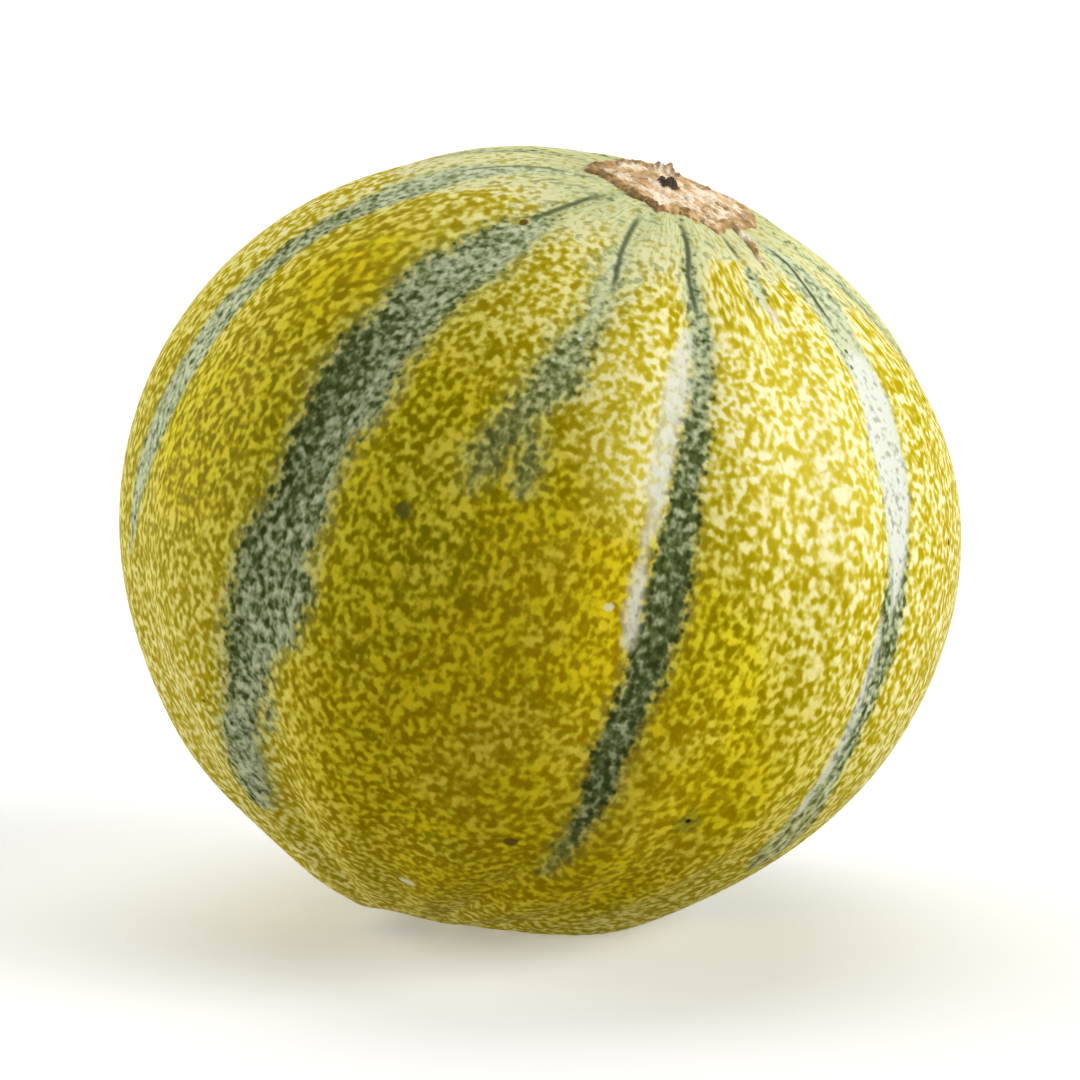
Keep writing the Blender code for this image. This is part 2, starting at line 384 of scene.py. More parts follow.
def ease(value, low, high):
    """0 below low, 1 above high, and an even ease between."""
    x = np.clip((value - low) / (high - low), 0.0, 1.0)
    return x * x * (3.0 - 2.0 * x)


def bump(away, width):
    """Bell curve: 1 at no distance, nearly 0 two widths away."""
    return np.exp(-((away / width) ** 2))


def seam_angle(index, down):
    """Angle of each seam round the core line, where down runs from 0 at the stem to 1 at the blossom."""
    turns, place = np.divmod(index, len(SEAMS))
    angle = (
        SEAM_TABLE[place, 0] * (1.0 - down) * (1.0 - 2.0 * down)
        + SEAM_TABLE[place, 1] * 4.0 * down * (1.0 - down)
        + SEAM_TABLE[place, 2] * down * (2.0 * down - 1.0)
    )
    return np.radians(angle + 360.0 * turns)


def plain_reach(direction):
    """Distance from the middle of the core line to the plain flattened ball, along a direction."""
    x, y, z = direction
    girth = 1.0 / GIRTH_RADIUS**2
    height = 1.0 / HALF_HEIGHT**2
    a = (x * x + y * y) * girth + z * z * height
    b = x * CORE_FORWARD * girth
    c = CORE_FORWARD**2 * girth - 1.0
    return (np.sqrt(b * b - a * c) - b) / a


def swell_height(point):
    """Broad departures from the plain ball."""
    unit = point / np.linalg.norm(point, axis=0)
    total = 0.0
    for swell in SWELLS:
        lon, lat = math.radians(swell.longitude), math.radians(swell.latitude)
        middle = (math.cos(lat) * math.cos(lon), math.cos(lat) * math.sin(lon), math.sin(lat))
        near = np.clip(sum(m * u for m, u in zip(middle, unit)), -1.0, 1.0)
        total = total + swell.height * bump(np.degrees(np.arccos(near)), swell.spread)
    return total


def furrow_height(rib, share, colatitude, axis_distance):
    """Furrows of the two seams beside a point that lies the given share of the way across a rib."""
    down = colatitude / math.pi
    degrees = np.degrees(colatitude)
    rib_width = (seam_angle(rib + 1, down) - seam_angle(rib, down)) * axis_distance
    width = np.minimum(FURROW_WIDTH, FURROW_SHARE * rib_width) + TINY
    deepened = 1.0 + BLOSSOM_DEEPENING * ease(degrees, *FURROW_DEEPENS)
    furrow_fade = ease(degrees, *FURROW_STARTS) * deepened * (1.0 - ease(degrees, *FURROW_STOPS))
    crease_fade = ease(degrees, *CREASE_STARTS) * (1.0 - ease(degrees, *CREASE_STOPS))
    total = 0.0
    for seam, gap in ((rib, share * rib_width), (rib + 1, (1.0 - share) * rib_width)):
        seam_depth = SEAM_TABLE[seam % len(SEAMS), 3]
        depth = np.minimum(seam_depth * furrow_fade, FURROW_STEEPEST * rib_width)
        total = total - depth * bump(gap, width)
        total = total - CREASE_DEPTH * crease_fade * bump(gap, CREASE_WIDTH)
    return total


def scar_edge(angle):
    """Distance from the core line to the edge of the stem scar."""
    edge = SCAR_RADIUS + SCAR_LONGER_RIGHT * np.sin(angle)
    edge = edge - SCAR_SHORTER_FRONT * np.cos(angle) - SCAR_OVAL * np.cos(2.0 * angle)
    for wave in SCAR_WAVES:
        edge = edge + wave.height * np.cos(wave.count * angle + wave.start)
    return edge


def button_height(axis_distance):
    """Sunken blossom scar with a faint raised edge."""
    dish = BUTTON_DEPTH * bump(axis_distance, BUTTON_RADIUS)
    rim = BUTTON_RIM * bump(axis_distance - BUTTON_RIM_RADIUS, BUTTON_RIM_WIDTH)
    return rim - dish


def fruit_frame():
    """Turns the fruit's own frame to lean, and lifts its middle to the right height over the foot."""
    lowest = math.hypot(GIRTH_RADIUS * math.sin(LEAN), HALF_HEIGHT * math.cos(LEAN))
    front = (0.0, -1.0, 0.0)
    right = (math.cos(LEAN), 0.0, -math.sin(LEAN))
    stem = (math.sin(LEAN), 0.0, math.cos(LEAN))
    turn = Matrix((front, right, stem)).transposed().to_4x4()
    return Matrix.Translation((0.0, 0.0, lowest - FOOT_CUT)) @ turn


def to_world(points):
    """Points of the fruit's own frame, three rows, as rows of world coordinates."""
    turn = np.array(fruit_frame())
    return points.reshape(3, -1).T @ turn[:3, :3].T + turn[:3, 3]


def along(stops, colatitude):
    """Value at a colatitude, straight between its stops."""
    return np.interp(colatitude, [stop[0] for stop in stops], [stop[1] for stop in stops])


def turned_by(angle):
    """The same angle in degrees, between -180 and 180."""
    return (angle + 180.0) % 360.0 - 180.0


class Rind:
    """The rind's surface as a grid of rings by columns, with everything that its colours need to know."""

    def __init__(self):
        ribs = len(SEAMS)
        columns = np.arange(ribs * SEGMENTS_PER_RIB)
        rib = (columns // SEGMENTS_PER_RIB)[None, :]
        share = (columns % SEGMENTS_PER_RIB / SEGMENTS_PER_RIB)[None, :]
        steps = (np.arange(RINGS) + 0.5) / RINGS
        down = (FIRST_RING + (1.0 - 2.0 * FIRST_RING) * steps**RING_GROWTH)[:, None]
        colatitude = math.pi * down
        self.angle = (1.0 - share) * seam_angle(rib, down) + share * seam_angle(rib + 1, down)
        self.colatitude = np.broadcast_to(colatitude, self.angle.shape)
        self.direction = self.towards(self.angle, self.colatitude)
        reach = plain_reach(self.direction)
        core = np.array((CORE_FORWARD, 0.0, 0.0)).reshape(3, 1, 1)
        plain = core + self.direction * reach
        self.axis_distance = reach * np.sin(self.colatitude)
        relief = swell_height(plain) + furrow_height(rib, share, self.colatitude, self.axis_distance)
        self.stem_half = self.colatitude < math.pi / 2
        under_scar = 1.0 - ease(self.axis_distance / scar_edge(self.angle), *UNDER_SCAR)
        button = button_height(self.axis_distance)
        relief = relief + np.where(self.stem_half, -UNDER_SCAR_DEPTH * under_scar, button)
        self.points = to_world(plain + self.direction * relief)
        self.points[:, 2] = np.maximum(self.points[:, 2], 0.0)
        self.degrees = turned_by(np.degrees(self.angle))
        self.down = np.degrees(self.colatitude)

    @staticmethod
    def towards(angle, colatitude):
        """Unit direction from the middle of the core line."""
        return np.stack(
            (
                np.sin(colatitude) * np.cos(angle),
                np.sin(colatitude) * np.sin(angle),
                np.cos(colatitude) * np.ones_like(angle),
            )
        )

    def spot(self, angle, colatitude):
        """World place of the grid's point nearest to an angle and a colatitude in degrees."""
        wanted = self.towards(np.radians(angle), np.radians(colatitude)).reshape(3, 1, 1)
        nearest = np.argmax((self.direction * wanted).sum(axis=0))
        return Vector(self.points[nearest])

    def aside(self, path):
        """Millimetres beside a path, positive to its right."""
        turn = turned_by(self.degrees - along(path, self.down))
        return np.radians(turn) * self.axis_distance / MM

    def covered_by(self, patches):
        """Sum of broad patches, each with its full strength in its middle."""
        total = 0.0
        for patch in patches:
            middle = self.towards(np.radians(patch.angle), np.radians(patch.colatitude)).reshape(3, 1, 1)
            near = np.clip((self.direction * middle).sum(axis=0), -1.0, 1.0)
            total = total + patch.strength * bump(np.degrees(np.arccos(near)), patch.spread)
        return total


# How far the pale zone round the stem reaches, as (angle, colatitude) stops
PALE_ENDS = (
    (-180, 34), (-110, 38), (-92, 43), (-83, 37.5), (-74, 30.5), (-63, 25.6), (-37, 29.5), (-26, 26),
    (-8, 31), (7, 26.5), (15, 33), (26, 18), (50, 20.6), (61, 24.5), (88, 29.5), (95, 36.5), (110, 45),
    (150, 34), (180, 34),
)
PALE_FADE = 5.5
SHADED_BY_STEM = (14, 26)    # colatitudes over which the sage shade round the stem fades
BUTTON_TINT = 0.004          # metres from the core line
FAR_OUTSIDE = -30.0          # millimetres, no stripe anywhere near
PAST_THE_END = 4.0           # how much faster a stripe ends than its stops of less than no width say
GREENER_LEFT = 0.5           # share of a stripe's lean that goes into its green too

# Dark crease lines near the stem: path of (colatitude, angle) stops, half width in millimetres and strength
Crease = namedtuple("Crease", "path width strength")
CREASES = (
    Crease(((12.6, -80), (15, -85), (18.5, -89.4), (25, -91), (32, -91)), 0.40, 0.7),
    Crease(((14.9, -66.5), (17.1, -71.6), (19.8, -72.6), (22.4, -70.6)), 0.35, 0.6),
    Crease(((12.6, -49.5), (19, -48), (24.2, -47.7), (28.5, -47.9)), 0.60, 0.9),
    Crease(((26.4, -40.6), (27.6, -47)), 0.60, 0.5),
    Crease(((12.3, -17.9), (18.6, -15.5), (23.7, -13.7), (30, -10.6), (34, -9.6)), 0.55, 0.9),
    Crease(((10.2, 11.6), (13, 13.4), (17.7, 14.3), (24.2, 13.4), (29, 15.4), (33, 16.4)), 0.60, 0.95),
    Crease(((11.6, 46), (14.9, 44.9), (19, 44.7)), 0.45, 0.9),
    Crease(((25, 35.3), (27.5, 35.5), (31, 36.6)), 0.35, 0.8),
    Crease(((15, 75.4), (17.5, 76.6), (19.9, 76.6), (24.8, 73.2), (30.4, 71.2), (33, 70.4)), 0.50, 0.95),
    Crease(((15, 103), (36, 105)), 0.5, 0.7),
    Crease(((18, 130), (38, 132)), 0.5, 0.7),
    Crease(((17, 158), (32, 160)), 0.5, 0.7),
    Crease(((15, -172), (34, -172)), 0.5, 0.7),
    Crease(((15, -145), (36, -145)), 0.5, 0.7),
    Crease(((14, -117), (34, -116)), 0.5, 0.7),
)
CREASE_TAPER = 4.0           # degrees of colatitude over which a crease line fades inside its ends
CREASE_PAST = 1.0            # and outside them
STREAK_CELLS = 34.0          # streaks round the stem, as noise cells for one radian round the core line
STREAK_LENGTH = 3.0          # millimetres along the rind for one noise cell


def stripe_fields(rind):
    """What the rind needs to know of whichever stripe a point is nearest to."""
    names = ("stripe_inside", "speck_share", "green_depth", "cover", "ragged")
    fields = {name: np.zeros(rind.degrees.shape) for name in names}
    fields["stripe_inside"] += FAR_OUTSIDE
    for stripe in STRIPES:
        aside = rind.aside(stripe.path)
        half_width = along(stripe.width, rind.down) / 2.0
        half_width = np.where(half_width < 0.0, half_width * PAST_THE_END, half_width)
        leftward = -np.clip(aside / np.maximum(half_width, 1.0), -1.0, 1.0)
        darker_left = along(stripe.lean, rind.down) * leftward
        found = {
            "stripe_inside": half_width - np.abs(aside),
            "speck_share": along(stripe.specks, rind.down) * (1.0 + darker_left),
            "green_depth": along(stripe.green, rind.down) + GREENER_LEFT * darker_left,
            "cover": along(stripe.cover, rind.down),
            "ragged": np.full(rind.degrees.shape, stripe.ragged),
        }
        nearer = found["stripe_inside"] > fields["stripe_inside"]
        for name, value in found.items():
            fields[name] = np.where(nearer, value, fields[name])
    return fields


def wax_and_sheen_fields(rind):
    """Millimetres inside the border of the nearest pale band of bloom and painted sheen, and the strength of
    that band.
    """
    wax_and_sheen_inside = np.full(rind.degrees.shape, FAR_OUTSIDE)
    strength = np.zeros(rind.degrees.shape)
    for band in WAX_AND_SHEEN_BANDS:
        inside = along(band.width, rind.down) / 2.0 - np.abs(rind.aside(band.path))
        nearer = inside > wax_and_sheen_inside
        wax_and_sheen_inside = np.where(nearer, inside, wax_and_sheen_inside)
        strength = np.where(nearer, band.strength, strength)
    return {"wax_and_sheen_inside": wax_and_sheen_inside, "wax_and_sheen_strength": strength}


def crease_fields(rind):
    """Signed distance to the nearest crease line in its own half widths, and the strength of that line."""
    aside = np.full(rind.degrees.shape, -FAR_OUTSIDE)
    strength = np.zeros(rind.degrees.shape)
    for crease in CREASES:
        here = rind.aside(crease.path) / crease.width
        start, stop = crease.path[0][0], crease.path[-1][0]
        begun = ease(rind.down, start - CREASE_PAST, start + CREASE_TAPER)
        ended = ease(rind.down, stop - CREASE_TAPER, stop + CREASE_PAST)
        nearer = np.abs(here) < np.abs(aside)
        aside = np.where(nearer, here, aside)
        strength = np.where(nearer, crease.strength * begun * (1.0 - ended), strength)
    return aside, strength


def rind_fields(rind):
    """Every value that the rind's colours read from its mesh, by name."""
    crease_aside, crease_strength = crease_fields(rind)
    pale_end = along(PALE_ENDS, rind.degrees)
    return {
        **stripe_fields(rind),
        **wax_and_sheen_fields(rind),
        "crease_aside": crease_aside,
        "crease_strength": crease_strength,
        "pale": (pale_end - rind.down) / PALE_FADE,
        "near_stem": 1.0 - ease(rind.down, *SHADED_BY_STEM),
        "deep": np.minimum(rind.covered_by(DEEP_AND_SHADED_PATCHES), 1.0),
        "warm": np.minimum(rind.covered_by(WARM_PATCHES), 1.0),
        "olive": rind.covered_by(OLIVE_PATCHES),
        "bright": np.minimum(rind.covered_by(BRIGHT_PATCHES), 1.0),
        "coarse": np.minimum(rind.covered_by(COARSE_PATCHES), 1.0),
        "streaky": np.minimum(rind.covered_by(STREAKY_PATCHES), 1.0),
        "button": bump(rind.axis_distance, BUTTON_TINT) * ~rind.stem_half,
    }


def streak_places(rind):
    """Noise coordinates whose cells are drawn out along the ribs."""
    arc = rind.colatitude * GIRTH_RADIUS / MM / STREAK_LENGTH
    around = STREAK_CELLS * np.stack((np.cos(rind.angle), np.sin(rind.angle)))
    return np.concatenate((around, arc[None]))


def grid_faces(rows, columns, closed=True):
    """Quads of a grid whose rows close on themselves, or end."""
    here = np.arange(rows * columns).reshape(rows, columns)
    if closed:
        here = np.hstack((here, here[:, :1]))
    quads = np.stack((here[:-1, :-1], here[1:, :-1], here[1:, 1:], here[:-1, 1:]), axis=-1)
    return quads.reshape(-1, 4).tolist()


def fan_faces(centre, ring):
    """Triangles from one point to each side of a closed ring of points."""
    ring = list(ring)
    return [(centre, here, beside) for here, beside in zip(ring, ring[1:] + ring[:1])]


def mesh_object(name, points, faces, values, places=None):
    """Smooth object with named values on its points."""
    mesh = bpy.data.meshes.new(name)
    mesh.from_pydata(points.tolist(), [], faces)
    for key, value in values.items():
        layer = mesh.attributes.new(key, "FLOAT", "POINT")
        layer.data.foreach_set("value", np.ravel(value).astype(np.float32))
    if places is not None:
        layer = mesh.attributes.new("streak_place", "FLOAT_VECTOR", "POINT")
        layer.data.foreach_set("vector", places.reshape(3, -1).T.astype(np.float32).ravel())
    mesh.shade_smooth()
    piece = bpy.data.objects.new(name, mesh)
    bpy.context.scene.collection.objects.link(piece)
    return piece


def build_rind(rind):
    """The whole rind with its values, closed by a fan at the stem and one at the blossom end."""
    rings, columns = rind.degrees.shape
    count = rings * columns
    poles = to_world(np.array(((CORE_FORWARD, CORE_FORWARD), (0.0, 0.0), (POLE_HEIGHT, -POLE_HEIGHT))))
    poles[:, 2] = np.maximum(poles[:, 2], 0.0)
    faces = grid_faces(rings, columns)
    faces += fan_faces(count, range(columns))
    faces += fan_faces(count + 1, reversed(range(count - columns, count)))
    values = {}
    for key, value in rind_fields(rind).items():
        values[key] = np.concatenate((np.ravel(value), (value[0].mean(), value[-1].mean())))
    places = streak_places(rind).reshape(3, -1)
    places = np.concatenate((places, places[:, :1], places[:, -1:]), axis=1)
    return mesh_object("rind", np.vstack((rind.points, poles)), faces, values, places)


# Stem scar
SCAR_COLUMNS = 300
SCAR_RINGS = 84
SKIRT_RINGS = 3              # of them, that run down under the rind from the plate's edge
SCAR_STEP = 0.00025          # height of the corky plate over the rind
SCAR_SKIRT = 0.0012          # how far the skirt runs under the rind
RIM_STARTS = 0.62            # of the way from the stub to the plate's edge
RAGGED_EDGE = 0.0008
RAGGED_CELLS = 5.0           # noise cells for one radian
RAGGED_FINER = 3.1           # how much finer the small tears are
RAGGED_SLICE = 0.3           # where the noise is cut, as in the other slices
LIP = 0.00045
LIP_PLACE = 0.91
LIP_WIDTH = 0.0009
LIP_CELLS = 3.0
LIP_FINER = 3.0
LIP_SLICE = 1.7
LIP_USUAL = 0.9              # heights of the broken lip, in its own height
LIP_BROKEN = 1.3
LIP_TORN = 0.9
LIP_LEAST = 0.1
FLAKE_ANGLE = -173
FLAKE_SPREAD = 11
FLAKE = 0.0013
STALK_ANGLE = math.radians(-159)
STALK_OFFSET = 0.0020
STALK_RADIUS = 0.0015
STALK_HEIGHT = 0.0020
STALK_TOP = 0.8              # of its height, at the very middle
STALK_UNEVEN = 0.0006
STALK_NOISE_PER_METRE = 700.0
# Reach of the near-black round the stub: the stub's own dark and painted shade of the hole at its foot
STALK_AND_PIT_SHADE_RADIUS = 1.2 * STALK_RADIUS
SHORT_END_ANGLE = 82         # the cork stops short of the scar's right end
SHORT_END_SPREAD = 30
SHORT_END = 0.0020
CRUMBLE_HEIGHT = 0.0005
CRUMBLE_LEVEL = 0.4          # of the crumble noise, where the plate is neither raised nor sunk
CRUMBLE_PER_METRE = 520.0
CRUMBLE_SLICE = 0.0021
CRUMBLE_LAYERS = 4
CRUMBLE_FADE = 0.6
CRACKS_PER_METRE = 300.0
CRACK_WIDTH = 0.10
CRACK_DEPTH = 0.0003
CRACKED = (0.1, 0.5)         # levels of the crumble noise between which the cracks open

# Torn strip of cork that runs on from the scar, along a path of (colatitude, angle) stops
STRIP_PATH = ((9.6, 70.0), (13.2, 64.2), (16.6, 57.7), (19.0, 56.0))
STRIP_ROWS = 36
STRIP_COLUMNS = 9
STRIP_REACH = 1.02 * HALF_HEIGHT     # from the middle of the core line
STRIP_WIDTH = 0.0011
STRIP_NARROWEST = 0.35       # of its width, at its ends
STRIP_STARTS = (0.0, 0.1)    # shares of its length over which it grows thick, and thin again
STRIP_TAPERS = (0.5, 1.0)
STRIP_HEIGHT = 0.0006
STRIP_LOWEST = 0.3           # of its height, at its ends
STRIP_SUNK = 0.0003
STRIP_WANDER = 0.0004
STRIP_BENDS = 6.0
STRIP_ROUGH = 0.5
STRIP_NOISE_PER_METRE = 1400.0
STRIP_CRACKED = 0.3          # its values of crack and rim
STRIP_RIM = 0.35

# What each point of the cork carries for its colours
CORK_VALUES = ("crack", "lip", "stalk", "rim")
STALK_TIP_VALUES = (0.5, 0.0, 1.0, 0.0)


def over_rind(x, y, height):
    """World place over the plain rind near the stem, from a place beside the core line."""
    x = CORE_FORWARD + x
    z = HALF_HEIGHT * math.sqrt(1.0 - (x * x + y * y) / GIRTH_RADIUS**2)
    swell = float(swell_height(np.array((x, y, z))))
    return fruit_frame() @ Vector((x, y, z + swell + height))


def ragged_edge(angle):
    """Distance from the core line to the plate's torn edge."""
    torn = Vector((RAGGED_CELLS * math.cos(angle), RAGGED_CELLS * math.sin(angle), RAGGED_SLICE))
    short = SHORT_END * float(bump(turned_by(math.degrees(angle) - SHORT_END_ANGLE), SHORT_END_SPREAD))
    uneven = RAGGED_EDGE * (noise.noise(torn) + noise.noise(RAGGED_FINER * torn))
    return float(scar_edge(angle)) - short + uneven


def cork_relief(angle, share, edge, x, y, from_stalk):
    """Height of the cork over the rind, and how far it is cracked and lipped there."""
    place = Vector((x, y, CRUMBLE_SLICE))
    crumble = noise.turbulence(
        place * CRUMBLE_PER_METRE,
        CRUMBLE_LAYERS,
        True,
        noise_basis="PERLIN_NEW",
        amplitude_scale=CRUMBLE_FADE,
    )
    crack = float(bump(noise.noise(place * CRACKS_PER_METRE), CRACK_WIDTH)) * float(ease(crumble, *CRACKED))
    rim = Vector((LIP_CELLS * math.cos(angle), LIP_CELLS * math.sin(angle), LIP_SLICE))
    broken = LIP_USUAL + LIP_BROKEN * noise.noise(rim) + LIP_TORN * noise.noise(LIP_FINER * rim)
    at_lip = float(bump((share - LIP_PLACE) * edge, LIP_WIDTH))
    lip = at_lip * max(broken, LIP_LEAST)
    flake = FLAKE * at_lip * float(bump(turned_by(math.degrees(angle) - FLAKE_ANGLE), FLAKE_SPREAD))
    stalk = STALK_HEIGHT * float(bump(from_stalk, STALK_RADIUS))
    plate = SCAR_STEP + LIP * lip + CRUMBLE_HEIGHT * (crumble - CRUMBLE_LEVEL) - CRACK_DEPTH * crack
    return plate + (flake + stalk) * (CRUMBLE_LEVEL + crumble), crack, lip


def cork_object(name, points, faces, values):
    """Object of cork from its points and the values of each."""
    return mesh_object(name, np.array(points), faces, dict(zip(CORK_VALUES, np.array(values).T)))


def build_scar():
    """Thin ragged plate of cork round the dry stub of the stalk, with a torn lip."""
    points, values = [], []
    stalk_x, stalk_y = STALK_OFFSET * math.cos(STALK_ANGLE), STALK_OFFSET * math.sin(STALK_ANGLE)
    plate_rings = SCAR_RINGS - SKIRT_RINGS
    for ring in range(SCAR_RINGS):
        share = min((ring + 0.5) / plate_rings, 1.0)
        sunk = max(0.0, ring + 0.5 - plate_rings) / (SKIRT_RINGS - 0.5)
        rim = float(ease(share, RIM_STARTS, 1.0))
        for column in range(SCAR_COLUMNS):
            angle = 2.0 * math.pi * column / SCAR_COLUMNS
            edge = ragged_edge(angle)
            x = (1.0 - share) * stalk_x + share * edge * math.cos(angle)
            y = (1.0 - share) * stalk_y + share * edge * math.sin(angle)
            uneven = STALK_UNEVEN * noise.noise(Vector((x, y, 0.0)) * STALK_NOISE_PER_METRE)
            from_stalk = max(0.0, math.hypot(x - stalk_x, y - stalk_y) + uneven)
            height, crack, lip = cork_relief(angle, share, edge, x, y, from_stalk)
            points.append(over_rind(x, y, height * (1.0 - sunk) - SCAR_SKIRT * sunk))
            values.append((crack, lip, float(bump(from_stalk, STALK_AND_PIT_SHADE_RADIUS)), rim))
    points.append(over_rind(stalk_x, stalk_y, SCAR_STEP + STALK_TOP * STALK_HEIGHT))
    values.append(STALK_TIP_VALUES)
    faces = grid_faces(SCAR_RINGS, SCAR_COLUMNS)
    faces += fan_faces(len(points) - 1, range(SCAR_COLUMNS))
    return cork_object("stem_scar", points, faces, values)


def build_strip():
    """Strip of torn cork, thick near the scar and thin at its end."""
    start, stop = STRIP_PATH[0][0], STRIP_PATH[-1][0]
    points, values = [], []
    for row in range(STRIP_ROWS):
        share = row / (STRIP_ROWS - 1)
        down = start + (stop - start) * share
        distance = STRIP_REACH * math.sin(math.radians(down))
        angle = math.radians(float(along(STRIP_PATH, down)))
        thick = float(ease(share, *STRIP_STARTS) * (1.0 - ease(share, *STRIP_TAPERS)))
        width = STRIP_WIDTH * (STRIP_NARROWEST + (1.0 - STRIP_NARROWEST) * thick)
        height = STRIP_HEIGHT * (STRIP_LOWEST + thick) + STRIP_SUNK
        wander = STRIP_WANDER * noise.noise(Vector((share * STRIP_BENDS, 0.0, 0.0)))
        for column in range(STRIP_COLUMNS):
            across = 2.0 * column / (STRIP_COLUMNS - 1) - 1.0
            aside = across * width + wander
            x = distance * math.cos(angle) - aside * math.sin(angle)
            y = distance * math.sin(angle) + aside * math.cos(angle)
            rough = STRIP_ROUGH * noise.noise(Vector((x, y, 0.0)) * STRIP_NOISE_PER_METRE)
            crest = (1.0 - across * across) * height * (1.0 + rough)
            points.append(over_rind(x, y, crest - STRIP_SUNK))
            values.append((STRIP_CRACKED + rough, 1.0 - thick, 0.0, STRIP_RIM))
    faces = grid_faces(STRIP_ROWS, STRIP_COLUMNS, closed=False)
    return cork_object("scar_strip", points, faces, values)


class Value:
    """What a socket gives. Arithmetic on numbers that change over a surface adds the nodes for it."""

    def __init__(self, finish, socket):
        self.finish = finish
        self.socket = socket

    def worked(self, operation, *inputs):
        return self.finish.node("ShaderNodeMath", {"operation": operation}, dict(enumerate(inputs)))

    def __add__(self, other):
        return self.worked("ADD", self, other)

    def __sub__(self, other):
        return self.worked("SUBTRACT", self, other)

    def __rsub__(self, other):
        return self.worked("SUBTRACT", other, self)

    def __mul__(self, other):
        return self.worked("MULTIPLY", self, other)

    def __truediv__(self, other):
        return self.worked("DIVIDE", self, other)

    def __rtruediv__(self, other):
        return self.worked("DIVIDE", other, self)

    def __pow__(self, other):
        return self.worked("POWER", self, other)

    def __rpow__(self, other):
        return self.worked("POWER", other, self)

    def __abs__(self):
        return self.worked("ABSOLUTE", self)

    __radd__ = __add__
    __rmul__ = __mul__

    def most(self, other):
        """The greater of the two."""
        return self.worked("MAXIMUM", self, other)


class Finish:
    """A material and the nodes that make it."""

    def __init__(self, name):
        self.material = bpy.data.materials.new(name)
        self.material.use_nodes = True
        self.tree = self.material.node_tree
        self.shader = self.tree.nodes["Principled BSDF"]

    def node(self, kind, settings=None, inputs=None, output=0):
        """Any node: its settings first, then the values or links of its sockets."""
        made = self.tree.nodes.new(kind)
        for key, setting in (settings or {}).items():
            setattr(made, key, setting)
        self.feed(made, inputs or {})
        return Value(self, made.outputs[output])

    def feed(self, made, inputs):
        """Links or sets the sockets of a node."""
        for key, value in inputs.items():
            if isinstance(value, Value):
                self.tree.links.new(value.socket, made.inputs[key])
            else:
                made.inputs[key].default_value = value

    def reading(self, name, output="Fac"):
        """A value that the mesh carries."""
        return self.node("ShaderNodeAttribute", {"attribute_name": name}, output=output)

    def grain(self, place, per_metre, detail=2.0, roughness=0.5, distortion=0.0):
        """Soft noise round 0, between -0.5 and 0.5."""
        sockets = {
            "Vector": place,
            "Scale": per_metre,
            "Detail": detail,
            "Roughness": roughness,
            "Distortion": distortion,
        }
        return self.node("ShaderNodeTexNoise", None, sockets) - 0.5

    def eased(self, value, low, high):
        """0 below low, 1 above high, and an even ease between."""
        sockets = {"Value": value, "From Min": low, "From Max": high}
        return self.node("ShaderNodeMapRange", {"interpolation_type": "SMOOTHSTEP"}, sockets)

    def mixed(self, share, one, other):
        """Colour from one at share 0 to the other at share 1."""
        settings = {"data_type": "RGBA", "clamp_factor": True}
        return self.node("ShaderNodeMix", settings, {0: share, 6: self.full(one), 7: self.full(other)}, 2)

    def roughened(self, strength, height):
        """Normal of a surface with a fine relief."""
        sockets = {"Strength": strength, "Distance": RELIEF_DEPTH, "Height": height}
        return self.node("ShaderNodeBump", None, sockets)

    @staticmethod
    def full(colour):
        """A colour with its alpha, where it is given in numbers."""
        return colour if isinstance(colour, Value) else (*colour, 1.0)


# Colours of the rind, linear. Each mark shades from its ground through a middle tone to gold
CREAM = (0.95, 0.89, 0.52)
# The yellow grounds and the deeper tones below are taken on in the deeper regions: partly the rind's own
# tone, partly painted shade
YELLOW = (0.79, 0.69, 0.035)
WARM_YELLOW = (0.84, 0.65, 0.012)
BRIGHT_GOLD = (0.72, 0.60, 0.05)
DEEP_AND_SHADED_BRIGHT = (0.49, 0.40, 0.003)
GOLD = (0.46, 0.345, 0.0)
DEEP_AND_SHADED_GOLD = (0.27, 0.212, 0.0)
WARM_GOLD = (0.39, 0.243, 0.0)
OLIVE_GOLD = (0.22, 0.20, 0.0)
SAGE = (0.78, 0.76, 0.40)            # round the stem, as are its mark and shade
SAGE_MARK = (0.43, 0.42, 0.15)
SAGE_SHADE = (0.46, 0.50, 0.27)
HALO_GROUND = (0.62, 0.66, 0.28)     # beside the stripes, as are the other halo colours
HALO_MIDDLE = (0.43, 0.46, 0.14)
HALO_MARK = (0.27, 0.28, 0.07)
STRIPE_PALE = (0.64, 0.69, 0.43)
STRIPE_GREEN = (0.155, 0.198, 0.062)
SPECK_GREEN = (0.043, 0.058, 0.011)
# White of the pale wax bloom, also of the painted sheen in two of its bands and of the painted glints
WAX_AND_SHEEN_WHITE = (0.78, 0.80, 0.70)
CREASE_GREEN = (0.085, 0.105, 0.045)
BLACK_SPOT = (0.012, 0.010, 0.004)
BROWN_SPOT = (0.14, 0.085, 0.012)
DARK_OLIVE = (0.11, 0.12, 0.015)
BRIGHT_YELLOW = (0.95, 0.75, 0.03)
PALE_TICK = (0.92, 0.90, 0.66)
BUTTON_BROWN = (0.32, 0.22, 0.10)    # of the blossom scar

